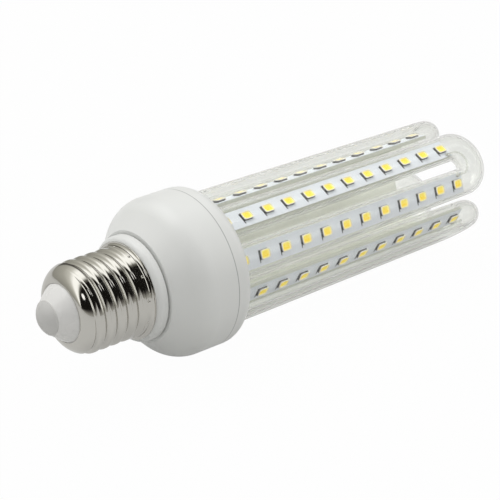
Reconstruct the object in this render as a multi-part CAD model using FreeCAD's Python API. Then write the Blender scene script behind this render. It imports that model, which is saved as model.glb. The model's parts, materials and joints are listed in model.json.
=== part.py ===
import FreeCAD, Part
import os
from math import acos, atan2, cos, degrees, hypot, pi, radians, sin, sqrt, tan

# Corn type LED lamp: screw cap, two-piece white housing and four clear U tubes with LED boards.
# Sizes are in millimetres. Every piece is made about the lamp's own axis, with z = 0 at the tip
# of the centre contact and z rising towards the tube bends. Angle 0 looks down between two tubes.
# At the end the lamp is laid down as it rests on a table: +X runs from the cap to the tubes.

# Centre contact and its insulator
contact_radius = 4.95
contact_rise = 2.2
contact_edge = 0.4
stem_radius = 1.0
stem_clearance = 0.1
stem_reach = 0.8
insulator_height = 4.3
insulator_flange_rise = 1.6
insulator_flange_edge = 0.6
insulator_bulge = 0.15
insulator_clearance = 0.1
insulator_seat = 0.3

# Screw shell, to the E27 thread
thread_crest_radius = 13.2
thread_depth = 1.1
thread_pitch = 3.629
thread_above_end = 0.28
thread_below_rim = 4.03
crest_trim = 0.05
crest_overcut = 0.02
runout_length = 6.5
shell_height = 21.8
shell_wall = 0.5
shell_hole_radius = 8.5
shell_lip = 0.45
shoulder_radius = 6.0
shell_clearance = 0.15
rim_radius = 14.2
rim_edge = 0.35
flare_height = 0.9
band_rise = 0.15
band_height = 1.1
band_slope_height = 0.3
crimp_count = 12
crimp_radius = 0.65
crimp_depth = 0.2
crimp_below_rim = 1.8
crimp_first_angle = 16.4

# Lower housing: neck, neck ring, groove, dome and ribs for the driver board
spigot_gap = 4.1
neck_bore_radius = 9.8
ring_radius = 15.5
ring_round = 1.7
ring_height = 3.1
groove_width = 0.6
groove_depth = 1.4
dome_foot_radius = 16.4
dome_slope = 45.0
dome_round = 9.0
housing_radius = 23.65
housing_wall = 1.6
seam_height = 21.8
floor_thickness = 1.1
rib_count = 4
rib_depth = 2.6
rib_height = 4.0
rib_width = 1.2
rib_first_angle = 45.0

# Upper cover
cover_height = 5.9
cover_edge_round = 3.5
cover_plate = 2.0
skirt_clearance = 0.15
skirt_wall = 0.9
hole_clearance = 0.15

# Clear U tubes
tube_count = 4
tube_circle_radius = 15.45
tube_foot_radius = 5.0
tube_bend_radius = 4.35
tube_wall = 0.9
tube_flange = 0.35
tube_flange_height = 1.0

# LED boards and LEDs
board_width = 6.5
board_thickness = 1.0
board_front_offset = 0.15
board_foot = 0.8
board_end_margin = 2.5
board_end_clearance = 0.9
led_count = 12
led_pitch = 8.12
led_first = 3.0
led_length = 3.5
led_width = 2.8
led_height = 0.8
window_length = 3.2
window_width = 2.5
window_depth = 0.35
window_clearance = 0.03
phosphor_below_top = 0.15

# Wire link through each bend
link_radius = 0.3
link_gap = 0.05
link_side = 2.6
link_tail = 2.2

# Driver in the housing
driver_radius_clearance = 0.3
driver_thickness = 1.6
driver_below_seam = 2.5
slot_clearance = 0.15
component_clearance = 1.0
capacitor_radius = 4.0
capacitor_height = 11.5
capacitor_arm = 3
film_length = 10.0
film_width = 5.0
film_height = 8.0
film_round = 0.6
film_arm = 0
bridge_length = 6.4
bridge_width = 5.0
bridge_height = 2.4
bridge_arm = 6
chip_length = 4.9
chip_width = 3.9
chip_height = 1.5
chip_arm = 2
resistor_radius = 1.6
resistor_length = 7.0
resistor_lead_radius = 0.35
resistor_lead_reach = 1.6
resistor_stand = 0.4
resistor_arm = 5
lead_radius = 0.65
lead_gap = 0.1
neutral_bend = 1.6

# Levels along the lamp's axis
contact_seat = contact_rise + contact_edge
shell_end = contact_seat + insulator_height
shell_inside = shell_end + shell_wall
flange_top = shell_inside + insulator_flange_rise + insulator_flange_edge
spigot_end = flange_top + spigot_gap
rim_level = shell_end + shell_height
flare_level = rim_level - rim_edge - flare_height
band_level = flare_level - band_height
thread_start = shell_end + thread_above_end
thread_end = rim_level - thread_below_rim
groove_level = rim_level + ring_height
dome_foot = groove_level + groove_width
floor_level = dome_foot + floor_thickness
seam_level = rim_level + seam_height
cover_top = seam_level + cover_height
plate_under = cover_top - cover_plate
tube_foot = plate_under - tube_flange_height
driver_top = seam_level - driver_below_seam
driver_under = driver_top - driver_thickness
led_level = cover_top + led_first
board_bottom = driver_under - board_foot
board_top = led_level + led_pitch * (led_count - 1) + board_end_margin
bend_level = board_top + board_end_clearance

# Radii and angles that follow from the sizes above
land_radius = thread_crest_radius - crest_trim
band_radius = thread_crest_radius + band_rise
thread_root = thread_crest_radius - thread_depth
shell_bore = thread_root - shell_wall
housing_inside = housing_radius - housing_wall
skirt_outside = housing_inside - skirt_clearance
skirt_inside = skirt_outside - skirt_wall
arm_step = 360.0 / (2 * tube_count)
bend_circle = tube_circle_radius * sin(radians(arm_step / 2))
board_front = tube_circle_radius + board_front_offset
component_reach = board_front - board_thickness - component_clearance

# Helpers
V = FreeCAD.Vector
ORIGIN = V(0, 0, 0)
AXIS = V(0, 0, 1)


def at(radius, level):
    """Point of a turned outline."""
    return V(radius, 0, level)


def on_arc(centre, radius, angle):
    """Point on an arc of a turned outline, by angle in degrees from the outward direction."""
    turn = radians(angle)
    return at(centre.x + radius * cos(turn), centre.z + radius * sin(turn))


def arc_to(centre, radius, first, last):
    """Step of an outline along an arc between two angles: a point halfway and the end."""
    return on_arc(centre, radius, (first + last) / 2), on_arc(centre, radius, last)


def wire(start, *steps):
    """Closed outline of lines to points and of arcs given as (point on the arc, end)."""
    edges = []
    here = start
    for step in steps:
        if isinstance(step, tuple):
            end = step[1]
            edges.append(Part.Arc(here, step[0], end).toShape())
        else:
            end = step
            edges.append(Part.makeLine(here, end))
        here = end
    edges.append(Part.makeLine(here, start))
    return Part.Wire(edges)


def turned(start, *steps):
    """Solid turned about the lamp's axis from an outline."""
    return Part.Face(wire(start, *steps)).revolve(ORIGIN, AXIS, 360)


def cylinder(radius, bottom, top, x=0.0, y=0.0):
    return Part.makeCylinder(radius, top - bottom, V(x, y, bottom))


def block(depth, width, bottom, top, x):
    """Upright block centred at a distance x from the lamp's axis, with its depth along x."""
    return Part.makeBox(depth, width, top - bottom, V(x - depth / 2, -width / 2, bottom))


def turn_copy(shape, angle):
    """Copy of a shape turned about the lamp's axis."""
    copy = shape.copy()
    copy.rotate(ORIGIN, AXIS, angle)
    return copy


def arm_angle(arm):
    return arm_step * (arm + 0.5)


# Screw cap
def centre_contact():
    """Domed disc with the stem that holds it in the insulator."""
    dome_radius = (contact_radius ** 2 + contact_rise ** 2) / (2 * contact_rise)
    edge = degrees(atan2(contact_rise - dome_radius, contact_radius))
    dome = arc_to(at(0, dome_radius), dome_radius, -90, edge)
    stem_top = flange_top + stem_reach
    return turned(at(0, 0), dome, at(contact_radius, contact_seat), at(stem_radius, contact_seat),
                  at(stem_radius, stem_top), at(0, stem_top))


def contact_insulator():
    """Slightly bulged cone that plugs the shell's hole, with a flange behind it."""
    bore = stem_radius + stem_clearance
    neck = shell_hole_radius - insulator_clearance
    seat = shell_hole_radius + insulator_seat
    flange = at(seat + insulator_flange_rise, shell_inside + insulator_flange_rise)
    bulge = at((contact_radius + neck) / 2 + insulator_bulge, (contact_seat + shell_end) / 2)
    return turned(at(bore, contact_seat), at(contact_radius, contact_seat), (bulge, at(neck, shell_end)),
                  at(neck, shell_inside), at(seat, shell_inside), flange, at(flange.x, flange_top),
                  at(bore, flange_top))


def shoulder_centre():
    """Centre of the arc that rounds the shell from its small end to the thread's crest."""
    radius = land_radius - shoulder_radius
    lip = shell_hole_radius + shell_lip
    return at(radius, shell_end + sqrt(shoulder_radius ** 2 - (lip - radius) ** 2))


def shell_blank():
    """Shell before the thread is rolled: small end, shoulder, wall, plain band and flared rim."""
    lip = at(shell_hole_radius + shell_lip, shell_end)
    centre = shoulder_centre()
    low = degrees(atan2(shell_end - centre.z, lip.x - centre.x))
    inside = shoulder_radius - shell_wall
    drop = shell_inside - centre.z
    inside_low = degrees(atan2(drop, sqrt(inside ** 2 - drop ** 2)))
    bore_angle = -degrees(acos((shell_bore - centre.x) / inside))
    inner_band = band_radius - shell_wall
    flare_out = rim_radius - band_radius
    flare_radius = (flare_out ** 2 + flare_height ** 2) / (2 * flare_out)
    flare_centre = at(band_radius + flare_radius, flare_level)
    flare_stop = degrees(atan2(flare_height, flare_out - flare_radius))
    return turned(at(shell_hole_radius, shell_end), lip, arc_to(centre, shoulder_radius, low, 0),
                  at(land_radius, band_level - band_slope_height), at(band_radius, band_level),
                  at(band_radius, flare_level), arc_to(flare_centre, flare_radius, 180, flare_stop),
                  at(rim_radius, rim_level), at(rim_radius - shell_wall, rim_level),
                  at(inner_band, flare_level), at(inner_band, band_level), at(shell_bore, band_level),
                  on_arc(centre, inside, bore_angle), arc_to(centre, inside, bore_angle, inside_low),
                  at(shell_hole_radius, shell_inside))


def groove_section():
    """Section of the rolled groove: a root arc between two halves of crest arcs, open to the outside.

    Both arcs have the radius at which they meet smoothly for this pitch and depth.
    """
    half_pitch = thread_pitch / 2
    arc = (half_pitch ** 2 + thread_depth ** 2) / (4 * thread_depth)
    root = at(thread_root + arc, 0)
    flank = degrees(atan2(half_pitch, 2 * arc - thread_depth))
    crest = thread_crest_radius - arc
    stop = degrees(acos((arc - crest_trim + crest_overcut) / arc))
    outside = thread_crest_radius + thread_depth

    def crest_arc(side):
        centre = at(crest, side * half_pitch)
        return [on_arc(centre, arc, -side * turn) for turn in (stop, (stop + flank) / 2, flank)]

    low = crest_arc(-1)
    high = crest_arc(1)
    return wire(at(outside, low[0].z), low[0], (low[1], low[2]), (on_arc(root, arc, 180), high[2]),
                (high[1], high[0]), at(outside, high[0].z))


def thread_groove():
    """Groove swept along the thread's helix, leaving the shell along a straight tangent at its end."""
    height = thread_end - thread_start
    helix = Part.makeHelix(thread_pitch, height, land_radius)
    helix.translate(V(0, 0, thread_start))
    last = 2 * pi * height / thread_pitch
    end = V(land_radius * cos(last), land_radius * sin(last), thread_end)
    heading = V(-sin(last), cos(last), thread_pitch / (2 * pi * land_radius))
    heading.normalize()
    runout = Part.makeLine(end, end + heading * runout_length)
    section = groove_section()
    section.translate(V(0, 0, thread_start))
    sweep = Part.BRepOffsetAPI.MakePipeShell(Part.Wire(helix.Edges + [runout]))
    sweep.setBiNormalMode(AXIS)
    sweep.add(section)
    sweep.build()
    sweep.makeSolid()
    return sweep.shape()


def crimps():
    """Punch marks that hold the shell on the neck."""
    level = rim_level - crimp_below_rim
    mark = Part.makeSphere(crimp_radius, V(band_radius + crimp_radius - crimp_depth, 0, level))
    step = 360.0 / crimp_count
    return [turn_copy(mark, crimp_first_angle + step * n) for n in range(crimp_count)]


def screw_shell():
    return shell_blank().cut(thread_groove()).cut(crimps())


# Housing
def dome_centre():
    """Centre of the arc that joins the dome's cone to the housing's wall."""
    slope = radians(dome_slope)
    reach = dome_foot_radius - housing_radius + dome_round
    return at(housing_radius - dome_round, dome_foot + (dome_round - reach * cos(slope)) / sin(slope))


def housing_ribs():
    """Short ribs on the wall that the driver board rests on."""
    inner = housing_inside - rib_depth
    outer = housing_inside + housing_wall / 2
    rib = block(outer - inner, rib_width, driver_under - rib_height, driver_under, (inner + outer) / 2)
    step = 360.0 / rib_count
    return [turn_copy(rib, rib_first_angle + step * n) for n in range(rib_count)]


def lower_housing():
    """Cup with its neck: spigot in the shell, ring, groove, cone and rounded wall, hollow inside."""
    spigot = shell_bore - shell_clearance
    ring_centre = at(ring_radius - ring_round, rim_level + ring_round)
    groove = ring_radius - groove_depth
    centre = dome_centre()
    inside_round = dome_round - housing_wall
    inside_start = on_arc(centre, inside_round, -dome_slope)
    floor_edge = inside_start.x - (inside_start.z - floor_level) * tan(radians(dome_slope))
    cup = turned(at(neck_bore_radius, spigot_end), at(spigot, spigot_end), at(spigot, rim_level),
                 at(ring_centre.x, rim_level), arc_to(ring_centre, ring_round, -90, 0),
                 at(ring_radius, groove_level), at(groove, groove_level), at(groove, dome_foot),
                 at(dome_foot_radius, dome_foot), on_arc(centre, dome_round, -dome_slope),
                 arc_to(centre, dome_round, -dome_slope, 0), at(housing_radius, seam_level),
                 at(housing_inside, seam_level), at(housing_inside, centre.z),
                 arc_to(centre, inside_round, 0, -dome_slope), at(floor_edge, floor_level),
                 at(neck_bore_radius, floor_level))
    return cup.fuse(housing_ribs()).removeSplitter()


def upper_cover():
    """Cap with a rounded edge, a skirt inside the lower housing and a hole for each tube arm."""
    centre = at(housing_radius - cover_edge_round, cover_top - cover_edge_round)
    cap = turned(at(0, cover_top), at(0, plate_under), at(skirt_inside, plate_under),
                 at(skirt_inside, driver_top), at(skirt_outside, driver_top), at(skirt_outside, seam_level),
                 at(housing_radius, seam_level), at(housing_radius, centre.z),
                 arc_to(centre, cover_edge_round, 0, 90))
    hole = cylinder(tube_foot_radius + hole_clearance, tube_foot, cover_top + cover_plate, tube_circle_radius)
    return cap.cut([turn_copy(hole, arm_angle(arm)) for arm in range(2 * tube_count)])


# Tubes
def tube_body(foot_radius, bend_radius, foot):
    """Two tapered arms joined by a half ring, about the tube's own middle plane."""
    half = arm_step / 2
    arm = Part.makeCone(foot_radius, bend_radius, bend_level - foot, V(tube_circle_radius, 0, foot))
    arms = [turn_copy(arm, -half), turn_copy(arm, half)]
    end = Part.Face(Part.Wire(Part.makeCircle(bend_radius, V(tube_circle_radius, 0, bend_level), AXIS)))
    middle = V(tube_circle_radius * cos(radians(half)), 0, bend_level)
    bend = turn_copy(end, half).revolve(middle, V(1, 0, 0), 180)
    return arms[0].fuse([arms[1], bend])


def u_tube(tube):
    """Clear tube with a flange on each foot that lies under the cover's plate."""
    flange = cylinder(tube_foot_radius + tube_flange, tube_foot, plate_under, tube_circle_radius)
    flanges = [turn_copy(flange, side * arm_step / 2) for side in (-1, 1)]
    outside = tube_body(tube_foot_radius, tube_bend_radius, tube_foot).fuse(flanges)
    inside = tube_body(tube_foot_radius - tube_wall, tube_bend_radius - tube_wall, tube_foot)
    return turn_copy(outside.cut(inside).removeSplitter(), arm_angle(2 * tube) + arm_step / 2)


# LED boards
def led_levels():
    return [led_level + led_pitch * n for n in range(led_count)]


def led_board(arm):
    strip = block(board_thickness, board_width, board_bottom, board_top, board_front - board_thickness / 2)
    return turn_copy(strip, arm_angle(arm))


def led_block(length, width, low, high, level):
    """Block on a board's front, from low to high above it, centred on a level."""
    return block(high - low, width, level - length / 2, level + length / 2, board_front + (low + high) / 2)


def led_bodies(arm):
    """White packages with the cup for the phosphor."""
    floor = led_height - window_depth
    bodies = []
    for level in led_levels():
        body = led_block(led_length, led_width, 0, led_height, level)
        cup = led_block(window_length, window_width, floor, led_height + window_depth, level)
        bodies.append(body.cut(cup))
    return turn_copy(Part.makeCompound(bodies), arm_angle(arm))


def led_phosphors(arm):
    """Phosphor that fills each cup nearly to its edge."""
    length = window_length - 2 * window_clearance
    width = window_width - 2 * window_clearance
    floor = led_height - window_depth
    top = led_height - phosphor_below_top
    fills = [led_block(length, width, floor, top, level) for level in led_levels()]
    return turn_copy(Part.makeCompound(fills), arm_angle(arm))


def link_wire(tube):
    """Wire from one board's front, round the inside of the bend, to the other board's front."""
    half = radians(arm_step / 2)
    lift = board_front_offset + link_gap + link_radius
    side = bend_circle - link_side * cos(half) + lift * sin(half)
    depth = tube_circle_radius * cos(half) + link_side * sin(half) + lift * cos(half)
    tail = board_top - link_tail
    first = V(depth, -side, tail)
    low = V(depth, -side, bend_level)
    top = V(depth, 0, bend_level + side)
    high = V(depth, side, bend_level)
    last = V(depth, side, tail)
    bend = Part.Arc(low, top, high).toShape()
    path = Part.Wire([Part.makeLine(first, low), bend, Part.makeLine(high, last)])
    section = Part.Wire(Part.makeCircle(link_radius, first, AXIS))
    return turn_copy(path.makePipeShell([section], True, True), arm_angle(2 * tube) + arm_step / 2)


# Driver
def driver_board():
    """Round board with a slot for the foot of each LED board."""
    disc = cylinder(housing_inside - driver_radius_clearance, driver_under, driver_top)
    slot = block(board_thickness + 2 * slot_clearance, board_width + 2 * slot_clearance,
                 driver_under - board_foot, driver_top + board_foot, board_front - board_thickness / 2)
    return disc.cut([turn_copy(slot, arm_angle(arm)) for arm in range(2 * tube_count)])


def component(depth, width, height):
    """Block under the driver board, clear of the foot of the LED board that it faces."""
    return block(depth, width, driver_under - height, driver_under, component_reach - depth / 2)


def smoothing_capacitor():
    place = component_reach - capacitor_radius
    can = cylinder(capacitor_radius, driver_under - capacitor_height, driver_under, place)
    return turn_copy(can, arm_angle(capacitor_arm))


def input_capacitor():
    box = component(film_width, film_length, film_height)
    upright = [edge for edge in box.Edges if edge.BoundBox.ZLength > film_height / 2]
    return turn_copy(box.makeFillet(film_round, upright), arm_angle(film_arm))


def bridge_rectifier():
    return turn_copy(component(bridge_width, bridge_length, bridge_height), arm_angle(bridge_arm))


def driver_chip():
    return turn_copy(component(chip_width, chip_length, chip_height), arm_angle(chip_arm))


def fusible_resistor():
    """Body lying along an LED board's foot, with a wire bent up to the driver board at each end."""
    across = V(0, 1, 0)
    x = component_reach - resistor_radius
    level = driver_under - resistor_stand - resistor_radius
    body = Part.makeCylinder(resistor_radius, resistor_length, V(x, -resistor_length / 2, level), across)
    reach = resistor_length / 2 + resistor_lead_reach
    legs = [Part.makeCylinder(resistor_lead_radius, 2 * reach, V(x, -reach, level), across)]
    for end in (-reach, reach):
        legs.append(Part.makeSphere(resistor_lead_radius, V(x, end, level)))
        legs.append(cylinder(resistor_lead_radius, level, driver_under, x, end))
    return turn_copy(body.fuse(legs).removeSplitter(), arm_angle(resistor_arm))


def live_lead():
    return cylinder(lead_radius, flange_top + stem_reach, driver_under)


def neutral_lead():
    """Wire down the neck's wall and outwards under the spigot's end to the shell."""
    inner = neck_bore_radius - lead_gap - lead_radius
    level = spigot_end - neutral_bend
    corner = V(0, inner, level + neutral_bend)
    slant = neutral_bend / sqrt(2)
    middle = V(0, inner + neutral_bend - slant, level + neutral_bend - slant)
    foot = V(0, inner + neutral_bend, level)
    end = V(0, shell_bore - lead_gap, level)
    start = V(0, inner, driver_under)
    bend = Part.Arc(corner, middle, foot).toShape()
    path = Part.Wire([Part.makeLine(start, corner), bend, Part.makeLine(foot, end)])
    section = Part.Wire(Part.makeCircle(lead_radius, start, AXIS))
    return path.makePipeShell([section], True, True)


# Assembly
def pieces():
    """Every node's shape about the lamp's own axis."""
    made = {
        "centre_contact": centre_contact(),
        "contact_insulator": contact_insulator(),
        "screw_shell": screw_shell(),
        "lower_housing": lower_housing(),
        "upper_cover": upper_cover(),
        "driver_board": driver_board(),
        "smoothing_capacitor": smoothing_capacitor(),
        "input_capacitor": input_capacitor(),
        "bridge_rectifier": bridge_rectifier(),
        "driver_chip": driver_chip(),
        "fusible_resistor": fusible_resistor(),
        "live_lead": live_lead(),
        "neutral_lead": neutral_lead(),
    }
    for tube in range(tube_count):
        made[f"u_tube_{tube + 1}"] = u_tube(tube)
        made[f"link_wire_{tube + 1}"] = link_wire(tube)
    for arm in range(2 * tube_count):
        made[f"led_board_{arm + 1}"] = led_board(arm)
        made[f"led_bodies_{arm + 1}"] = led_bodies(arm)
        made[f"led_phosphors_{arm + 1}"] = led_phosphors(arm)
    return made


def resting_lean():
    """Angle in degrees by which the lamp dips towards its tubes when it lies on a table.

    It lies on the cover's edge and on two tube bends, and each touches with a rounding of its own.
    The lean is the one at which the two roundings reach equally deep.
    """
    edge = at(housing_radius - cover_edge_round, cover_top - cover_edge_round)
    bend = at(tube_circle_radius * cos(radians(arm_step / 2)), bend_level)
    drop = edge.x - bend.x
    run = bend.z - edge.z
    lean = acos((tube_bend_radius - cover_edge_round) / hypot(drop, run)) - atan2(run, drop)
    return degrees(lean)


def lay_down(shapes):
    """Lay the lamp on the table, with the middle of its length and width at the origin."""
    box = FreeCAD.BoundBox()
    for shape in shapes.values():
        shape.rotate(ORIGIN, V(0, 1, 0), 90 + resting_lean())
        box.add(shape.optimalBoundingBox(False))
    for shape in shapes.values():
        shape.translate(V(-box.Center.x, -box.Center.y, -box.ZMin))


def main():
    shapes = pieces()
    lay_down(shapes)
    os.makedirs("parts", exist_ok=True)
    for name, shape in shapes.items():
        shape.exportStep(f"parts/{name}.step")


main()
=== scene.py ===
import json
from functools import partial
from math import cos, pi, radians, sin

import bpy
import numpy as np
from bpy.props import FloatProperty, FloatVectorProperty, IntProperty, PointerProperty
from bpy.types import Operator, Panel, PropertyGroup
from mathutils import Matrix, Vector


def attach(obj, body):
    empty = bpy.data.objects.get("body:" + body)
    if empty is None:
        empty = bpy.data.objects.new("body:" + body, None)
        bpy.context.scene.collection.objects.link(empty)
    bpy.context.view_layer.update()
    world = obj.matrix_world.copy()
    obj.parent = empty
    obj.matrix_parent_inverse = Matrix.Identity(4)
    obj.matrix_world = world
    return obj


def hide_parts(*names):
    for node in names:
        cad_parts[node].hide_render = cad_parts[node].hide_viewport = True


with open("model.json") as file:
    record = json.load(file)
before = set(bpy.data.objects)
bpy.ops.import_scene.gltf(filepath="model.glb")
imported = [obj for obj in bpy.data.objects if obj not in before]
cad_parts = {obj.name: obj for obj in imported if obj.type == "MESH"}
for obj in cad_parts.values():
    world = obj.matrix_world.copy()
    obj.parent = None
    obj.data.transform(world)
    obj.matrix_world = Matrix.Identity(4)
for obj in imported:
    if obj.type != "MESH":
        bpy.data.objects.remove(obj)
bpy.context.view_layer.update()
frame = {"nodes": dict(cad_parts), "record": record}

bl_info = {
    "name": "Corn LED lamp",
    "version": (1, 0, 0),
    "blender": (4, 5, 0),
    "location": "View3D > Sidebar > Lamp",
    "description": "Finishes, LEDs and studio stage for a corn type LED lamp",
    "category": "Object",
}

MM = 0.001
BODY = "root"
ARMS = 8
TUBES = 4
RING_POINTS = 16
SHARP_ANGLE = radians(40)
# half width and darkness of the line of painted shade at the seam between the two mouldings
SEAM_HALF_WIDTH = 0.12 * MM
SEAM_SHADE = 0.5
WHITE = (1.0, 1.0, 1.0, 1.0)


def linear(code):
    """Linear colour of an sRGB hex code such as #D8D8D0."""
    srgb = np.array([int(code[i:i + 2], 16) for i in (1, 3, 5)]) / 255.0
    low = srgb / 12.92
    high = ((srgb + 0.055) / 1.055) ** 2.4
    return tuple(float(c) for c in np.where(srgb <= 0.04045, low, high))


# The lamp's own frame, read from the solids: x looks down between two tubes, y runs across
# and z goes along the axis from the tip of the centre contact towards the tube bends.
def solid_points(name):
    """Vertices of a solid as an array of rows."""
    mesh = frame["nodes"][name].data
    flat = np.empty(3 * len(mesh.vertices))
    mesh.vertices.foreach_get("co", flat)
    return flat.reshape(-1, 3)


CAP = frame["record"]["mounts"][0]
ALONG = -np.array(CAP["axis"], float)
ALONG /= np.linalg.norm(ALONG)
ACROSS = np.array([0.0, 1.0, 0.0])
TURN = np.stack([np.cross(ACROSS, ALONG), ACROSS, ALONG])
CAP_PLACE = np.array(CAP["pos_m"], float)
TIP = CAP_PLACE + ALONG * ((solid_points("centre_contact") - CAP_PLACE) @ ALONG).min()


def arm_axes(arm):
    """Rows that point out from the lamp's axis, sideways and along it, at one tube arm."""
    turn = 2 * pi * (arm + 0.5) / ARMS
    return np.array([[cos(turn), sin(turn), 0], [-sin(turn), cos(turn), 0], [0, 0, 1]]) @ TURN


def at_arm(arm, points):
    """World points of (out, side, along) points at one tube arm."""
    return TIP + points @ arm_axes(arm)


def arm_points(name, arm):
    """A solid's vertices as (out, side, along) at one tube arm."""
    return (solid_points(name) - TIP) @ arm_axes(arm).T


BOARD = arm_points("led_board_1", 0)
BOARD_FRONT = BOARD[:, 0].max()
LED_ROW = arm_points("led_bodies_1", 0)
LED_TOP = LED_ROW[:, 0].max() - BOARD_FRONT


def length(name, millimetres, description):
    """A size that a user can change."""
    return FloatProperty(name=name, description=description, default=millimetres * MM, min=0.0,
                         precision=5, subtype="DISTANCE", unit="LENGTH")


def colour(name, code, description):
    """A colour that a user can change."""
    return FloatVectorProperty(name=name, description=description, default=linear(code), size=3,
                               min=0.0, max=1.0, subtype="COLOR")


class LampSizes(PropertyGroup):
    """Sizes of the pieces that the scene adds to the solids."""

    tube_foot: length("Tube foot", 5.0, "Outer radius of a tube arm at its foot")
    tube_bend: length("Tube bend", 4.35, "Outer radius of a tube in its bend")
    tube_wall: length("Tube wall", 0.9, "Wall of a tube")
    flange: length("Flange", 0.35, "How far the flange of a tube's foot stands out")
    flange_height: length("Flange height", 1.0, "Height of the flange of a tube's foot")
    led_count: IntProperty(name="LEDs", description="LEDs on each board", default=12, min=2)
    led_length: length("LED length", 3.5, "Length of an LED package along its board")
    led_width: length("LED width", 2.8, "Width of an LED package across its board")
    led_wall: length("LED wall", 0.1, "Width of the white rim round an LED's window")
    led_round: length("LED rounding", 0.05, "Rounding of an LED package's upper edges")
    led_undercut: length("LED undercut", 0.12, "How far an LED package stands out over its feet")
    cup_depth: length("Cup depth", 0.28, "Depth of the phosphor below an LED's rim")
    foot_height: length("Foot height", 0.5, "Height of the dark feet along an LED's sides")
    foot_length: length("Foot length", 2.9, "Length of the dark feet along an LED's sides")
    foot_width: length("Foot width", 2.5, "Width of the dark foot at the cap side of an LED")
    foot_reach: length("Foot reach", 0.06,
                       "How far the dark foot stands out at the cap side of an LED")
    mask_thickness: length("Mask", 0.04, "Thickness of the white solder mask on a board")
    print_thickness: length("Print", 0.02, "Thickness of the dark print on a board")
    bar_width: length("Bar width", 0.35, "Width of the printed bar at the cap side of an LED")
    bar_tail: length("Bar tail", 0.8, "How far the printed bar runs past an LED on one side")
    print_gap: length("Print gap", 0.05, "Gap between an LED and the printed bar")
    joint_radius: length("Joint radius", 0.7, "Radius of the solder joints of the wire links")
    joint_height: length("Joint height", 0.6, "Height of the solder joints of the wire links")
    link_tail: length("Link tail", 2.2, "How far a wire link lies on its board")


class LampColours(PropertyGroup):
    """Colours of the finishes."""

    housing: colour("Housing", "#E4E5E2", "White moulded housing")
    insulator: colour("Insulator", "#E5E4E1", "White insulator of the cap")
    nickel: colour("Nickel", "#C8C6C0", "Bright nickel plating of the screw shell")
    contact: colour("Contact", "#CFCECB", "Dull plating of the centre contact")
    laminate: colour("Laminate", "#E0E2D6", "Bare glass-fibre board")
    mask: colour("Mask", "#EAEFF5", "White solder mask")
    ink: colour("Ink", "#100F0D", "Dark print on the boards")
    # the LED feet are coloured dark as painted shade, for the shadow in the gap under each package
    foot: colour("LED feet", "#161411", "Dark feet of the LEDs")
    package: colour("Package", "#FAF6EA", "White LED package")
    phosphor: colour("Phosphor", "#F9DA00", "Middle of an LED's phosphor")
    phosphor_edge: colour("Phosphor edge", "#F8E995", "Edge of an LED's phosphor")
    link: colour("Wire link", "#F0F1EC", "Pale sleeve of the wire links")
    solder: colour("Solder", "#C6C6C2", "Solder joints")


class LampStage(PropertyGroup):
    """Studio stage and camera."""

    floor_size: length("Floor", 4000.0, "Side of the square floor")
    camera_distance: length("Distance", 503.397,
                            "Distance of the camera from the point it looks at")
    camera_lens: FloatProperty(name="Lens", description="Focal length on a 36 mm wide sensor",
                               default=121.959, unit="CAMERA")
    camera_heading: FloatProperty(name="Heading", description="Turn of the view from +Y towards +X",
                                  default=radians(41.740), subtype="ANGLE", unit="ROTATION")
    camera_dip: FloatProperty(name="Dip", description="Angle by which the view looks down",
                              default=radians(29.395), subtype="ANGLE", unit="ROTATION")
    camera_roll: FloatProperty(name="Roll", description="Roll of the camera about its view",
                               default=radians(1.029), subtype="ANGLE", unit="ROTATION")
    camera_aim: FloatVectorProperty(name="Aim", description="Point that the camera looks at",
                                    default=(-4.968 * MM, 1.439 * MM, 20.035 * MM),
                                    subtype="TRANSLATION", unit="LENGTH")


class LampSettings(PropertyGroup):
    """All that a user can change."""

    sizes: PointerProperty(type=LampSizes)
    colours: PointerProperty(type=LampColours)
    stage: PointerProperty(type=LampStage)


# Materials
def rgba(value, gain=1.0):
    """A colour with full alpha, lightened or darkened by a gain."""
    return (*(min(1.0, c * gain) for c in value), 1.0)


def add(tree, kind, inputs=None, **settings):
    """Adds a node with its settings; inputs gives a socket its value or the output to link."""
    node = tree.nodes.new(kind)
    for key, value in settings.items():
        setattr(node, key, value)
    for key, value in (inputs or {}).items():
        if isinstance(value, bpy.types.NodeSocket):
            tree.links.new(value, node.inputs[key])
        else:
            node.inputs[key].default_value = value
    return node


def blank(name):
    """New material with an empty node tree, and that tree."""
    material = bpy.data.materials.new(name)
    material.use_nodes = True
    material.node_tree.nodes.clear()
    return material, material.node_tree


def per_metre(millimetres):
    """Texture scale at which one cell of a pattern measures this many millimetres."""
    return 1.0 / (millimetres * MM)


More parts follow.
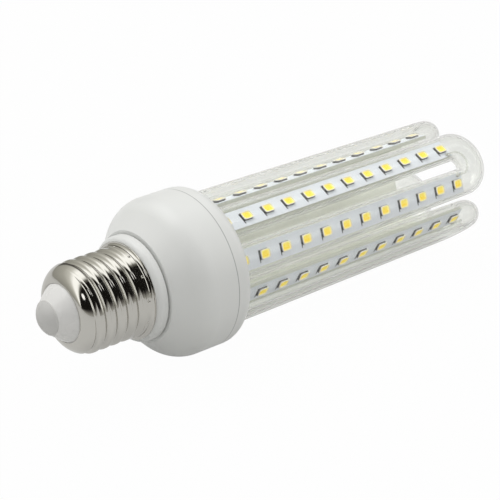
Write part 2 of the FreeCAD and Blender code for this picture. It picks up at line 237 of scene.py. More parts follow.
def finish(name, low, high, patch, rough, grain, depth, seam=None, **shader):
    """Surface whose colour and roughness drift between two values, with a fine relief.

    patch is the size in mm of the drifting patches, grain and depth are the size and the
    height in mm of the relief. seam is the level along the lamp of a thin line of painted
    shade, which stands for the shadow in the gap where two mouldings meet.
    """
    material, tree = blank(name)
    place = add(tree, "ShaderNodeTexCoord").outputs["Object"]
    drift = add(tree, "ShaderNodeTexNoise", {"Vector": place, "Scale": per_metre(patch),
                                             "Detail": 3.0})
    # sockets 6 and 7 take the two colours, and output 2 gives the mixed one
    tone = add(tree, "ShaderNodeMix", {0: drift.outputs["Fac"], 6: low, 7: high}, data_type="RGBA")
    shine = add(tree, "ShaderNodeMapRange",
                {"Value": drift.outputs["Fac"], "From Min": 0.3, "From Max": 0.7,
                 "To Min": rough[0], "To Max": rough[1]})
    relief = add(tree, "ShaderNodeTexNoise", {"Vector": place, "Scale": per_metre(grain),
                                              "Detail": 2.0})
    bump = add(tree, "ShaderNodeBump", {"Height": relief.outputs["Fac"], "Distance": depth * MM})
    # painted shade: a thin dark line at the seam stands for the shadow in the gap between the
    # mouldings
    if seam is not None:
        level = add(tree, "ShaderNodeVectorMath", {0: place, 1: tuple(ALONG)},
                    operation="DOT_PRODUCT")
        line = add(tree, "ShaderNodeMath",
                   {0: level.outputs["Value"], 1: seam, 2: SEAM_HALF_WIDTH}, operation="COMPARE")
        tone = add(tree, "ShaderNodeMix",
                   {0: line.outputs[0], 6: tone.outputs[2], 7: rgba(low[:3], SEAM_SHADE)},
                   data_type="RGBA")
    inputs = {"Base Color": tone.outputs[2], "Roughness": shine.outputs["Result"],
              "Normal": bump.outputs["Normal"]}
    inputs.update({key.replace("_", " "): value for key, value in shader.items()})
    body = add(tree, "ShaderNodeBsdfPrincipled", inputs)
    add(tree, "ShaderNodeOutputMaterial", {"Surface": body.outputs["BSDF"]})
    return material


def plain_finish(name, value, patch, rough, grain, depth, spread=0.04, **shader):
    """Finish that drifts a little to both sides of one colour."""
    return finish(name, rgba(value, 1 - spread), rgba(value, 1 + spread), patch, rough, grain,
                  depth, **shader)


def clear_tube():
    """Clear polycarbonate, extruded and bent: glossy, with a faint haze over what lies behind.

    The two faces of its thin wall bend light back and forth, so a low index stands for both,
    with a coat for the shine. Towards the edges the eye looks through more of the wall, so the
    haze grows and the tint deepens.
    """
    material, tree = blank("clear_polycarbonate_bent_tube")
    edge = add(tree, "ShaderNodeLayerWeight", {"Blend": 0.5})
    share = add(tree, "ShaderNodeMapRange", {"Value": edge.outputs["Facing"], "From Min": 0.4,
                                             "To Min": 0.975, "To Max": 0.5})
    tint = add(tree, "ShaderNodeMix", {0: edge.outputs["Facing"], 6: rgba(linear("#FEFFFD")),
                                       7: rgba(linear("#F6F6F3"))}, data_type="RGBA")
    clear = add(tree, "ShaderNodeBsdfPrincipled",
                {"Base Color": tint.outputs[2], "Roughness": 0.0, "IOR": 1.05,
                 "Transmission Weight": share.outputs["Result"], "Coat Weight": 0.5,
                 "Coat Roughness": 0.05, "Coat IOR": 1.5})
    # light that falls on the boards passes straight through, so that a wall casts a pale shadow
    path = add(tree, "ShaderNodeLightPath")
    lit = add(tree, "ShaderNodeMath", {0: path.outputs["Is Shadow Ray"],
                                       1: path.outputs["Is Diffuse Ray"]}, operation="MAXIMUM")
    through = add(tree, "ShaderNodeBsdfTransparent", {"Color": rgba(linear("#FEFEFE"))})
    mix = add(tree, "ShaderNodeMixShader", {0: lit.outputs[0], 1: clear.outputs["BSDF"],
                                            2: through.outputs["BSDF"]})
    add(tree, "ShaderNodeOutputMaterial", {"Surface": mix.outputs["Shader"]})
    return material


def phosphor(middle, edge):
    """Phosphor in silicone, dispensed in drops: deep yellow over the die and paler to the rim.

    It is given a faint painted glow, which stands in for its fluorescence, so it looks brighter
    than the white round it.
    """
    material, tree = blank("phosphor_silicone_dispensed")
    ring = add(tree, "ShaderNodeAttribute", attribute_name="rim")
    place = add(tree, "ShaderNodeTexCoord").outputs["Object"]
    grain = add(tree, "ShaderNodeTexNoise", {"Vector": place, "Scale": per_metre(0.3),
                                             "Detail": 2.0})
    ramp = add(tree, "ShaderNodeValToRGB", {"Fac": ring.outputs["Fac"]})
    ramp.color_ramp.interpolation = "EASE"
    ramp.color_ramp.elements[0].position = 0.5
    ramp.color_ramp.elements[0].color = rgba(middle)
    ramp.color_ramp.elements[1].position = 1.0
    ramp.color_ramp.elements[1].color = rgba(edge)
    bump = add(tree, "ShaderNodeBump", {"Height": grain.outputs["Fac"], "Distance": 0.01 * MM})
    # the emission is a painted glow in the phosphor's own colour
    body = add(tree, "ShaderNodeBsdfPrincipled",
               {"Base Color": ramp.outputs["Color"], "Roughness": 0.3, "IOR": 1.41,
                "Emission Color": ramp.outputs["Color"], "Emission Strength": 0.25,
                "Normal": bump.outputs["Normal"]})
    add(tree, "ShaderNodeOutputMaterial", {"Surface": body.outputs["BSDF"]})
    return material


def dress(material, *names):
    """Gives a material to solids that stay as they are."""
    for name in names:
        for slot in frame["nodes"][name].material_slots:
            slot.material = material


# Meshes
def skin(rings):
    """Points and faces of closed skins, one for each stack of rings.

    rings holds stacks of rings of points. Each ring is joined to the next by quads, and the
    first and last are closed by fans of triangles to the mean of their points.
    """
    stacks, rows, count = rings.shape[:3]
    ends = rings[:, [0, -1]].mean(axis=2)
    walls = rings.reshape(stacks, rows * count, 3)
    points = np.concatenate([ends[:, :1], walls, ends[:, 1:]], axis=1)
    here = np.arange(count)
    there = (here + 1) % count
    first = np.stack([np.zeros(count, int), there + 1, here + 1], axis=1)
    top = 1 + (rows - 1) * count
    last = np.stack([np.full(count, rows * count + 1), top + here, top + there], axis=1)
    low = 1 + count * np.arange(rows - 1)[:, None]
    quads = np.stack([low + here, low + there, low + count + there, low + count + here], axis=2)
    quads = quads.reshape(-1, 4)
    step = points.shape[1] * np.arange(stacks)[:, None, None]
    triangles = (np.concatenate([first, last])[None] + step).reshape(-1, 3)
    return points, triangles, (quads[None] + step).reshape(-1, 4)


def looped(rings):
    """Points and faces of one skin whose last ring joins the first again, as on a hollow tube."""
    rows, count = rings.shape[:2]
    here = np.arange(count)
    there = (here + 1) % count
    low = count * np.arange(rows)[:, None]
    high = count * ((np.arange(rows)[:, None] + 1) % rows)
    quads = np.stack([low + here, low + there, high + there, high + here], axis=2).reshape(-1, 4)
    return rings.reshape(1, -1, 3), np.empty((0, 3), int), quads


def new_piece(name, skinned, place, material, slot, *nodes, rim=None):
    """Makes a mesh of skinned rings, rides it on the lamp's body and hides the solids that it
    stands for.

    place turns the points to world points. The faces are turned round where the volume that
    they enclose, a sixth of the sum of their triple products, comes out negative.
    """
    points, triangles, quads = skinned
    points = place(points.reshape(-1, 3))
    fans = np.concatenate([triangles, quads[:, [0, 1, 2]], quads[:, [0, 2, 3]]])
    a, b, c = (points[fans[:, i]] - points.mean(axis=0) for i in range(3))
    if np.einsum("ij,ij->i", a, np.cross(b, c)).sum() < 0:
        triangles, quads = triangles[:, ::-1], quads[:, ::-1]
    mesh = bpy.data.meshes.new(name)
    mesh.from_pydata(points.tolist(), [], triangles.tolist() + quads.tolist())
    mesh.polygons.foreach_set("use_smooth", np.ones(len(mesh.polygons), bool))
    mesh.set_sharp_from_angle(angle=SHARP_ANGLE)
    if rim is not None:
        mesh.attributes.new("rim", "FLOAT", "POINT").data.foreach_set("value", rim)
    mesh.materials.append(material)
    mesh.validate()
    piece = bpy.data.objects.new(name, mesh)
    bpy.context.collection.objects.link(piece)
    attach(piece, BODY)
    if nodes:
        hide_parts(*nodes)


def rounded_rings(layers, count, power):
    """Rings of superellipses, one for each (out, half width, half length) layer.

    A ring's points are the cosine and sine of an even turn, each raised to 2 / power with its
    sign kept, so that a high power gives a rectangle with rounded corners.
    """
    layers = np.asarray(layers, float)
    turn = 2 * pi * np.arange(count) / count
    wave = np.stack([np.cos(turn), np.sin(turn)], axis=1)
    wave = np.sign(wave) * np.abs(wave) ** (2.0 / power)
    out = np.broadcast_to(layers[:, :1], (len(layers), count))
    return np.stack([out, layers[:, 1:2] * wave[:, 0], layers[:, 2:3] * wave[:, 1]], axis=2)


def plates(corners, low, high):
    """Rings of thin plates: the four corners (side, along) of each, at two distances out."""
    corners = np.asarray(corners, float)
    flat = np.stack([np.full(corners.shape[:2], low), corners[..., 0], corners[..., 1]], axis=2)
    raised = flat + np.array([high - low, 0.0, 0.0])
    return np.stack([flat, raised], axis=1)


def rectangle(side, along, width, reach):
    """Corners (side, along) of rectangles centred at each level of along."""
    ring = np.array([[-1, -1], [1, -1], [1, 1], [-1, 1]]) / 2.0
    centres = np.stack([np.full(len(along), side), along], axis=1)
    return centres[:, None] + ring * np.array([width, reach])


def led_levels(sizes):
    """Levels of the LED centres, evenly spaced between the ends of the row."""
    half = sizes.led_length / 2
    return np.linspace(LED_ROW[:, 2].min() + half, LED_ROW[:, 2].max() - half, sizes.led_count)


def repeated(rings, levels):
    """Copies of one stack of rings, one at each level."""
    shift = np.zeros((len(levels), 1, 1, 3))
    shift[..., 2] = levels[:, None, None]
    return rings[None] + shift


# Operators
class LampOperator:
    """What the operators share."""

    bl_options = {"REGISTER", "UNDO"}

    @property
    def settings(self):
        """Sizes, colours and stage of the scene."""
        return bpy.context.scene.lamp


class LAMP_OT_housing(LampOperator, Operator):
    """Dress the two white mouldings of the housing"""

    bl_idname = "lamp.housing"
    bl_label = "Housing"

    def execute(self, context):
        # moulded flame-retardant plastic: satin white, with a faint drift in tone and a fine
        # grain, and a thin line of painted shade where the cover meets the cup, for the gap there
        seam = (solid_points("lower_housing") @ ALONG).max()
        white = plain_finish("white_pbt_moulded_satin", self.settings.colours.housing, 14.0,
                             (0.30, 0.38), 0.35, 0.004, spread=0.012, seam=seam)
        dress(white, "lower_housing", "upper_cover")
        return {"FINISHED"}


class LAMP_OT_cap(LampOperator, Operator):
    """Dress the screw shell, the insulator and the centre contact"""

    bl_idname = "lamp.cap"
    bl_label = "Screw cap"

    def execute(self, context):
        colours = self.settings.colours
        # nickel on rolled steel sheet: mirror bright, with the slight waviness that rolling leaves
        shell = plain_finish("nickel_plated_steel_rolled", colours.nickel, 5.0, (0.06, 0.09), 1.2,
                             0.002, Metallic=1.0)
        # nickel on brass that has rubbed in a holder: dull, with fine scratches
        contact = plain_finish("nickel_plated_brass_worn", colours.contact, 1.5, (0.52, 0.66), 0.25,
                               0.01, Metallic=0.15)
        # moulded thermoset: opaque white with a soft gloss
        insulator = plain_finish("white_thermoset_moulded", colours.insulator, 4.0, (0.22, 0.3),
                                 0.5, 0.004, spread=0.015)
        dress(shell, "screw_shell")
        dress(contact, "centre_contact")
        dress(insulator, "contact_insulator")
        return {"FINISHED"}


class LAMP_OT_tubes(LampOperator, Operator):
    """Make the four clear U tubes, smooth enough to look through"""

    bl_idname = "lamp.tubes"
    bl_label = "Clear tubes"

    ARM_LEVELS = 24
    BEND_STEPS = 48
    ROUND_POINTS = 128

    def wall(self, sizes):
        """Rings of a U tube's skin as (out, side, along) about its middle plane.

        A centre line runs up one arm, over a half circle and down the other. A ring's points are
        the cosine and sine of an even turn, across that line, times a radius that tapers up the
        arms. The rings go round the outside first and come back round the inside.
        """
        solid = arm_points("u_tube_1", 0.5)
        foot, top = solid[:, 2].min(), solid[:, 2].max()
        bend = solid[:, 1].max() - sizes.tube_foot - sizes.flange
        depth = bend / np.tan(pi / ARMS)
        turn_level = top - bend - sizes.tube_bend
        seat = foot + sizes.flange_height
        rise = np.concatenate([[foot, seat], np.linspace(seat, turn_level, self.ARM_LEVELS)])
        taper = partial(np.interp, xp=[foot, turn_level], fp=[sizes.tube_foot, sizes.tube_bend])
        reach = np.concatenate([[sizes.flange] * 2, np.zeros(self.ARM_LEVELS)]) + taper(rise)
        angle = np.linspace(0, pi, self.BEND_STEPS + 1)[1:-1]
        level = np.concatenate([rise, turn_level + bend * np.sin(angle), rise[::-1]])
        beta = np.concatenate([np.zeros(len(rise)), angle, np.full(len(rise), pi)])
        outer = np.concatenate([reach, np.full(len(angle), sizes.tube_bend), reach[::-1]])
        inner = np.minimum(outer, taper(level)) - sizes.tube_wall
        level, beta = np.concatenate([level, level[::-1]]), np.concatenate([beta, beta[::-1]])
        radius = np.concatenate([outer, inner[::-1]])[:, None]
        round_turn = 2 * pi * np.arange(self.ROUND_POINTS) / self.ROUND_POINTS
        across = radius * np.sin(round_turn)
        ahead = np.stack([np.zeros(len(beta)), -np.cos(beta), np.sin(beta)], axis=1)
        centre = np.stack([np.full(len(beta), depth), -bend * np.cos(beta), level], axis=1)
        out = (radius * np.cos(round_turn))[..., None] * np.array([1.0, 0.0, 0.0])
        return centre[:, None] + out - across[..., None] * ahead[:, None]

    def execute(self, context):
        clear = clear_tube()
        skinned = looped(self.wall(self.settings.sizes))
        for tube in range(TUBES):
            new_piece(f"clear_tube_{tube + 1}", skinned, partial(at_arm, 2 * tube + 0.5), clear,
                      "tube_clear", f"u_tube_{tube + 1}")
        return {"FINISHED"}


class LAMP_OT_boards(LampOperator, Operator):
    """Dress the LED boards and add the white mask and the dark print on their fronts"""

    bl_idname = "lamp.boards"
    bl_label = "LED boards"

    def execute(self, context):
        colours = self.settings.colours
        sizes = self.settings.sizes
        # glass-fibre laminate: greenish beige with a woven look, satin
        laminate = plain_finish("glass_fibre_laminate_bare", colours.laminate, 3.0, (0.45, 0.55),
                                0.6, 0.01)
        # solder mask ink, screen printed and cured: white with a cool drift over the copper below
        mask = finish("white_solder_mask_printed", rgba(colours.mask, 0.93),
                      rgba(colours.mask, 1.05), 4.0, (0.32, 0.42), 0.5, 0.004)
        # marking ink, screen printed: near black, slightly uneven
        ink = plain_finish("dark_marking_ink_printed", colours.ink, 0.6, (0.5, 0.65), 0.2, 0.004,
                           spread=0.2)
        dress(laminate, *(f"led_board_{arm + 1}" for arm in range(ARMS)))
        half = BOARD[:, 1].max()
        low, high = BOARD[:, 2].min(), BOARD[:, 2].max()
        film = plates([[[-half, low], [half, low], [half, high], [-half, high]]],
                      BOARD_FRONT - sizes.print_thickness, BOARD_FRONT + sizes.mask_thickness)
        levels = led_levels(sizes)
        beside = sizes.led_width / 2 + sizes.print_gap
        before = levels - sizes.led_length / 2 - sizes.print_gap - sizes.bar_width / 2
        reach = 2 * beside + sizes.bar_tail
        bars = rectangle(sizes.bar_tail / 2, before, reach, sizes.bar_width)
        ink_low = BOARD_FRONT + sizes.mask_thickness - sizes.print_thickness
        ink_high = BOARD_FRONT + sizes.mask_thickness + sizes.print_thickness
        marks = plates(bars, ink_low, ink_high)
        for arm in range(ARMS):
            place = partial(at_arm, arm)
            new_piece(f"board_mask_{arm + 1}", skin(film), place, mask, "board_white")
            new_piece(f"board_print_{arm + 1}", skin(marks), place, ink, "board_white")
        return {"FINISHED"}


class LAMP_OT_leds(LampOperator, Operator):
    """Make the LED packages and their phosphor windows in place of the plain solids"""

    bl_idname = "lamp.leds"
    bl_label = "LEDs"

    # powers of the superellipses of a package and of its window
    PACKAGE_POWER = 8.0
    WINDOW_POWER = 4.0
    # layers of a drop of phosphor: depth below the rim in cup depths, and share of its width
    DROP = ((2.5, 1.0), (1.0, 1.0), (1.1, 0.75), (1.2, 0.5), (1.2, 0.25))

    def execute(self, context):
        colours = self.settings.colours
        sizes = self.settings.sizes
        # moulded polyamide: opaque warm white, satin
        white = plain_finish("white_ppa_moulded", colours.package, 1.0, (0.35, 0.45), 0.2, 0.004,
                             spread=0.015)
        yellow = phosphor(colours.phosphor, colours.phosphor_edge)
        # stamped terminals, coloured as painted shade: dark dull plates that show along the sides
        # only, standing for the shadow in the gap under each package
        feet_in_painted_shade = plain_finish("tin_terminals_in_painted_shade", colours.foot, 0.5, (0.45, 0.6), 0.2,
                                 0.01, spread=0.15)
        side, reach = sizes.led_width / 2, sizes.led_length / 2
        edge, wall = sizes.led_round, sizes.led_wall
        cup, under = sizes.cup_depth, sizes.led_undercut
        base, top, foot = BOARD_FRONT, BOARD_FRONT + LED_TOP, BOARD_FRONT + sizes.foot_height
        body = [(base, side - under, reach), (foot, side - under, reach), (foot, side, reach),
                (top - edge, side, reach), (top, side - edge, reach - edge),
                (top, side - wall, reach - wall),
                (top - 2 * cup, side - wall - cup / 2, reach - wall - cup / 2)]
        fill_side, fill_reach = side - wall - cup / 4, reach - wall - cup / 4
        fill = [(top - depth * cup, share * fill_side, share * fill_reach)
                for depth, share in self.DROP]
        levels = led_levels(sizes)
        outer = rounded_rings(body[:-2], RING_POINTS, self.PACKAGE_POWER)
        inner = rounded_rings(body[-2:], RING_POINTS, self.WINDOW_POWER)
        packages = skin(repeated(np.concatenate([outer, inner]), levels))
        drops = skin(repeated(rounded_rings(fill, RING_POINTS, self.WINDOW_POWER), levels))
        # the rim attribute falls from 1 at a window's rim to 0 in its middle
        shares = [share for depth, share in self.DROP]
        rim = np.concatenate([[1.0], np.repeat(shares, RING_POINTS), [0.0]])
        rim = np.tile(rim, len(levels)).astype(np.float32)
        start = levels - reach + sizes.foot_length / 2
        feet = [rectangle(end * (side - under / 2), start, under, sizes.foot_length)
                for end in (-1, 1)]
        # painted shade at the cap-side end of each package, as along its sides
        feet.append(rectangle(0.0, levels - reach, sizes.foot_width, 2 * sizes.foot_reach))
        feet = skin(plates(np.concatenate(feet), base, foot))
        for arm in range(ARMS):
            place = partial(at_arm, arm)
            new_piece(f"led_packages_{arm + 1}", packages, place, white, "led_white",
                      f"led_bodies_{arm + 1}")
            new_piece(f"led_windows_{arm + 1}", drops, place, yellow, "led_phosphor",
                      f"led_phosphors_{arm + 1}", rim=rim)
            new_piece(f"led_feet_painted_shade_{arm + 1}", feet, place, feet_in_painted_shade, "wire_tinned")
        return {"FINISHED"}


class LAMP_OT_links(LampOperator, Operator):
    """Dress the wire links through the bends and add their solder joints"""

    bl_idname = "lamp.links"
    bl_label = "Wire links"

    # angles of a solder joint's rings in degrees, and how much longer than wide a joint is
    JOINT_RINGS = (-12.0, 0.0, 25.0, 50.0, 75.0)
    JOINT_STRETCH = 1.35

    def execute(self, context):
        colours = self.settings.colours
        sizes = self.settings.sizes
        # extruded sleeve on thin wire: pale and nearly clear, satin
        wire = plain_finish("pale_ptfe_sleeve_extruded", colours.link, 1.0, (0.2, 0.3), 0.4, 0.006,
                            Transmission_Weight=0.85, IOR=1.1)
        # flowed tin solder: light grey metal, slightly lumpy
        solder = plain_finish("tin_solder_flowed", colours.solder, 0.8, (0.35, 0.5), 0.5, 0.02,
                              Metallic=0.6)
        dress(wire, *(f"link_wire_{n + 1}" for n in range(TUBES)))
        # a joint is a dome: its rings shrink with the cosine of an angle and rise with its sine
        rise = np.radians(self.JOINT_RINGS)
        width = sizes.joint_radius * np.cos(rise)
        layers = np.stack([BOARD_FRONT + sizes.joint_height * np.sin(rise), width,
                           self.JOINT_STRETCH * width], axis=1)
        for arm in range(ARMS):
            wires = arm_points(f"link_wire_{arm // 2 + 1}", arm)
            tail = wires[wires[:, 2] < BOARD[:, 2].max()]
            tail = tail[np.abs(tail[:, 1]) < BOARD[:, 1].max()]
            level = tail[:, 2].min() + sizes.link_tail / 3
            # a superellipse with power 2 is an ellipse
            dome = rounded_rings(layers, RING_POINTS, 2.0)
            dome = dome + np.array([0.0, tail[:, 1].mean(), level])
            new_piece(f"solder_joint_{arm + 1}", skin(dome[None]), partial(at_arm, arm), solder,
                      "wire_tinned")
        return {"FINISHED"}


class LAMP_OT_driver(LampOperator, Operator):
    """Dress the driver that sits inside the housing"""

    bl_idname = "lamp.driver"
    bl_label = "Driver"

    def execute(self, context):
        finishes = (
            # green solder mask on laminate, cured: satin
            ("driver_board", "green_solder_mask_printed", "#2C5E38", (0.35, 0.5)),
            # shrink sleeve on an aluminium can: smooth black
            ("smoothing_capacitor", "black_pet_sleeve_shrunk", "#1B1B1D", (0.2, 0.3)),
            # epoxy over a wound film: glossy brick red
            ("input_capacitor", "red_epoxy_dipped", "#8A2E1E", (0.15, 0.28)),
            # moulded epoxy packages: matt black
            ("bridge_rectifier", "black_epoxy_moulded", "#1D1D1D", (0.5, 0.62)),
            ("driver_chip", "black_epoxy_moulded_fine", "#202020", (0.5, 0.62)),
            # lacquer on a ceramic core: glossy grey green
            ("fusible_resistor", "green_lacquer_dipped", "#6F8F86", (0.2, 0.32)),
            # extruded soft insulation: satin
            ("live_lead", "red_pvc_extruded", "#A3201A", (0.35, 0.48)),
            ("neutral_lead", "black_pvc_extruded", "#1E1E1E", (0.35, 0.48)),
        )
        for node, name, code, rough in finishes:
            dress(plain_finish(name, linear(code), 3.0, rough, 0.4, 0.01, spread=0.08), node)
        return {"FINISHED"}


class LAMP_OT_stage(LampOperator, Operator):
    """Add the floor, the lights, the world and the camera"""

    bl_idname = "lamp.stage"
    bl_label = "Stage"

    AIM = (0.0, 0.0, 0.02)
    # name, place, side in metres and power in watts of each softbox
    SOFTBOXES = (("softbox_above", (-0.05, 0.35, 0.75), 0.55, 3.5),
                 ("softbox_left", (-0.75, -0.15, 0.45), 0.4, 0.5),
                 ("softbox_right", (0.5, -0.5, 0.4), 0.4, 1.1))
    FILL_LAMPS = 6
    FILL_WATTS = 0.0017
    FILL_RADIUS = 6 * MM
    # share of plain white in the floor that the camera, clear pieces and mirrors see
    FLOOR_WHITE = (("Is Camera Ray", 0.98), ("Is Transmission Ray", 0.1), ("Is Glossy Ray", 0.45))
    WORLD_LIGHT = 0.54
    MIRROR_LIGHT = 1.7
    # colours of the mirrored studio at shares of the half turn up from the camera's side
    BANDS = ((0.0, "#8E8D88"), (0.067, "#4A4845"), (0.10, "#12110F"), (0.45, "#12110F"),
             (0.49, "#66655F"), (0.53, "#E9E9E6"), (0.56, "#FBFBF9"), (0.65, "#FBFBF9"),
             (0.73, "#C0BFB9"), (0.84, "#A09F98"), (1.0, "#86857F"))
    FLANKS = ((0.0, "#8E8D88"), (0.10, "#EDEDE8"), (0.45, "#EDEDE8"), (0.53, "#4A4845"),
              (1.0, "#4A4845"))
    # how far along X a direction looks where the flanks' colours begin or end
    FLANK_EDGES = ((0.61, 0.67), (0.52, 0.46), (0.18, 0.26))
    # direction of a small lamp that mirrors see, and the distances over which its edge fades
    SPOT = (-0.802, -0.250, 0.543)
    SPOT_EDGE = (0.13, 0.09)
    SENSOR_WIDTH = 36.0
    NEAR_CLIP = 0.01

    def panel(self, name, corners, material):
        """Flat stage panel from its four corners."""
        mesh = bpy.data.meshes.new(name)
        mesh.from_pydata(corners, [], [tuple(range(len(corners)))])
        mesh.materials.append(material)
        made = bpy.data.objects.new(name, mesh)
        bpy.context.collection.objects.link(made)

    def floor(self, size):
        """Pale sheet that looks white, also in mirrors, and keeps part of the lamp's shadow."""
        material, tree = blank("pale_paper_sheet")
        path = add(tree, "ShaderNodeLightPath")
        share = 0.0
        for ray, part in self.FLOOR_WHITE:
            sum_up = add(tree, "ShaderNodeMath", {0: path.outputs[ray], 1: part, 2: share},
                         operation="MULTIPLY_ADD", use_clamp=True)
            share = sum_up.outputs[0]
        place = add(tree, "ShaderNodeTexCoord").outputs["Object"]
        fibre = add(tree, "ShaderNodeTexNoise", {"Vector": place, "Scale": per_metre(1.0)})
        bump = add(tree, "ShaderNodeBump", {"Height": fibre.outputs["Fac"], "Distance": 0.02 * MM})
        paper = add(tree, "ShaderNodeBsdfDiffuse", {"Color": rgba(linear("#C2C2C0")),
                                                    "Normal": bump.outputs["Normal"]})
        white = add(tree, "ShaderNodeEmission", {"Color": WHITE, "Strength": 1.0})
        mix = add(tree, "ShaderNodeMixShader", {0: share, 1: paper.outputs["BSDF"],
                                                2: white.outputs["Emission"]})
        add(tree, "ShaderNodeOutputMaterial", {"Surface": mix.outputs["Shader"]})
        half = size / 2
        corners = [(-half, -half, 0), (half, -half, 0), (half, half, 0), (-half, half, 0)]
        self.panel("floor", corners, material)

    def softbox(self, name, place, size, watts):
        """Square softbox that faces the lamp on the floor."""
        light = bpy.data.lights.new(name, "AREA")
        light.shape = "SQUARE"
        light.size = size
        light.energy = watts
        lamp = bpy.data.objects.new(name, light)
        turned = (Vector(self.AIM) - Vector(place)).to_track_quat("-Z", "Y").to_matrix().to_4x4()
        lamp.matrix_world = Matrix.Translation(place) @ turned
        # mirrors see the world's own bands in place of the lamp
        lamp.visible_glossy = False
        bpy.context.collection.objects.link(lamp)

    def fill(self):
        """Row of small lamps on the lamp's axis, for the light that clear walls pass inside."""
        ends = LED_ROW[:, 2].min(), LED_ROW[:, 2].max()
        for i, level in enumerate(np.linspace(*ends, self.FILL_LAMPS)):
            light = bpy.data.lights.new(f"fill_{i + 1}", "POINT")
            light.energy = self.FILL_WATTS
            light.shadow_soft_size = self.FILL_RADIUS
            lamp = bpy.data.objects.new(light.name, light)
            lamp.location = TIP + ALONG * level
            for way in ("camera", "glossy", "transmission"):
                setattr(lamp, f"visible_{way}", False)
            bpy.context.collection.objects.link(lamp)

    def mirrored(self, tree):
        """Studio that mirrors see, in bands by the angle up from the camera's side.

        Directions that look far along X, and a strip of others that look less far, show a second
        set of colours, light where the first is dark, so that the flanks of the thread stand out
        from its crests.
        """
        way = add(tree, "ShaderNodeTexCoord").outputs["Generated"]
        ray = add(tree, "ShaderNodeSeparateXYZ", {0: way})
        near = add(tree, "ShaderNodeMath", {0: ray.outputs["Y"], 1: -1.0}, operation="MULTIPLY")
        angle = add(tree, "ShaderNodeMath", {0: ray.outputs["Z"], 1: near.outputs[0]},
                    operation="ARCTAN2")
        turn = add(tree, "ShaderNodeMapRange", {"Value": angle.outputs[0], "From Max": pi})
        sets = []
        for stops in (self.BANDS, self.FLANKS):
            ramp = add(tree, "ShaderNodeValToRGB", {"Fac": turn.outputs["Result"]})
            elements = ramp.color_ramp.elements
            for position, code in stops[1:-1]:
                elements.new(position)
            for element, (position, code) in zip(elements, stops):
                element.position = position
                element.color = rgba(linear(code))
            sets.append(ramp.outputs["Color"])
        past, before, beyond = (
            add(tree, "ShaderNodeMapRange", {"Value": ray.outputs["X"], "From Min": low,
                                             "From Max": high}).outputs["Result"]
            for low, high in self.FLANK_EDGES)
        strip = add(tree, "ShaderNodeMath", {0: before, 1: beyond}, operation="MULTIPLY")
        flank = add(tree, "ShaderNodeMath", {0: past, 1: strip.outputs[0]}, operation="MAXIMUM")
        both = add(tree, "ShaderNodeMix", {0: flank.outputs[0], 6: sets[0], 7: sets[1]},
                   data_type="RGBA")
        far = add(tree, "ShaderNodeVectorMath", {0: way, 1: self.SPOT}, operation="DISTANCE")
        spot = add(tree, "ShaderNodeMapRange", {"Value": far.outputs["Value"],
                                                "From Min": self.SPOT_EDGE[0],
                                                "From Max": self.SPOT_EDGE[1]})
        lit = add(tree, "ShaderNodeMix", {0: spot.outputs["Result"], 6: both.outputs[2], 7: WHITE},
                  data_type="RGBA")
        return lit.outputs[2]

    def world(self):
        """Even light, bands for mirrors, a pale wall through clear pieces, white to the camera."""
        world = bpy.data.worlds.new("studio")
        world.use_nodes = True
        tree = world.node_tree
        tree.nodes.clear()
        path = add(tree, "ShaderNodeLightPath")
        light = add(tree, "ShaderNodeBackground", {"Color": WHITE, "Strength": self.WORLD_LIGHT})
        shown = light.outputs["Background"]
        for ray, tone, strength in (("Is Glossy Ray", self.mirrored(tree), self.MIRROR_LIGHT),
                                    ("Is Transmission Ray", rgba(linear("#E8E9E5")), 1.0),
                                    ("Is Camera Ray", WHITE, 1.0)):
            layer = add(tree, "ShaderNodeBackground", {"Color": tone, "Strength": strength})
            mix = add(tree, "ShaderNodeMixShader", {0: path.outputs[ray], 1: shown,
                                                    2: layer.outputs["Background"]})
            shown = mix.outputs["Shader"]
        add(tree, "ShaderNodeOutputWorld", {"Surface": shown})
        bpy.context.scene.world = world

    def camera(self, stage):
        """Camera at a distance from its aim, turned by heading, dip and roll."""
        turn, dip = stage.camera_heading, stage.camera_dip
        forward = Vector((sin(turn) * cos(dip), cos(turn) * cos(dip), -sin(dip)))
        level = Vector((cos(turn), -sin(turn), 0.0))
        upright = level.cross(forward)
        right = level * cos(stage.camera_roll) + upright * sin(stage.camera_roll)
        up = upright * cos(stage.camera_roll) - level * sin(stage.camera_roll)
        place = Vector(stage.camera_aim) - forward * stage.camera_distance
        view = bpy.data.cameras.new("camera")
        view.sensor_fit = "HORIZONTAL"
        view.sensor_width = self.SENSOR_WIDTH
        view.lens = stage.camera_lens
        view.clip_start = self.NEAR_CLIP
        camera = bpy.data.objects.new("camera", view)
        turned = Matrix((right, up, -forward)).transposed().to_4x4()
        camera.matrix_world = Matrix.Translation(place) @ turned
        bpy.context.collection.objects.link(camera)
        bpy.context.scene.camera = camera

    def execute(self, context):
        stage = self.settings.stage
        self.floor(stage.floor_size)
        for softbox in self.SOFTBOXES:
            self.softbox(*softbox)
        self.fill()
        self.world()
        self.camera(stage)
        context.scene.view_settings.view_transform = "Standard"
        return {"FINISHED"}


OPERATORS = (LAMP_OT_housing, LAMP_OT_cap, LAMP_OT_tubes, LAMP_OT_boards, LAMP_OT_leds,
             LAMP_OT_links, LAMP_OT_driver, LAMP_OT_stage)


class LAMP_PT_panel(Panel):
    """Lists the lamp's pieces and what can be changed"""

    bl_idname = "LAMP_PT_panel"
    bl_label = "Corn LED lamp"
    bl_space_type = "VIEW_3D"
    bl_region_type = "UI"
    bl_category = "Lamp"

    def draw(self, context):
        column = self.layout.column()
        for operator in OPERATORS:
            column.operator(operator.bl_idname)
        settings = context.scene.lamp
        for group in (settings.sizes, settings.colours, settings.stage):
            for name in group.__annotations__:
                column.prop(group, name)


CLASSES = (LampSizes, LampColours, LampStage, LampSettings, *OPERATORS, LAMP_PT_panel)


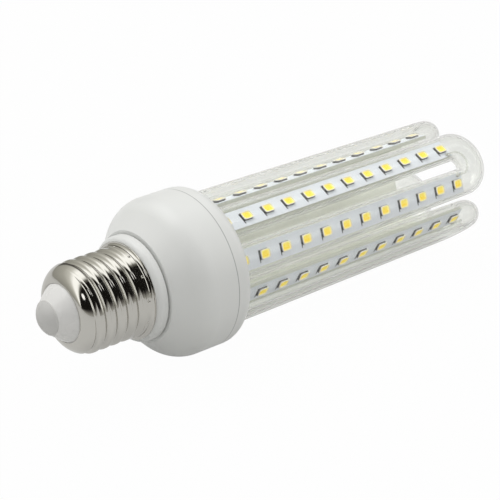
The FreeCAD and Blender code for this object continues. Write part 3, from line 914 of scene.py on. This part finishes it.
def register():
    for each in CLASSES:
        bpy.utils.register_class(each)
    bpy.types.Scene.lamp = PointerProperty(type=LampSettings)


def unregister():
    del bpy.types.Scene.lamp
    for each in reversed(CLASSES):
        bpy.utils.unregister_class(each)


def main():
    """Makes the lamp and its stage."""
    register()
    bpy.ops.lamp.housing()
    bpy.ops.lamp.cap()
    bpy.ops.lamp.tubes()
    bpy.ops.lamp.boards()
    bpy.ops.lamp.leds()
    bpy.ops.lamp.links()
    bpy.ops.lamp.driver()
    bpy.ops.lamp.stage()
    bpy.context.view_layer.update()


if __name__ == "__main__":
    main()
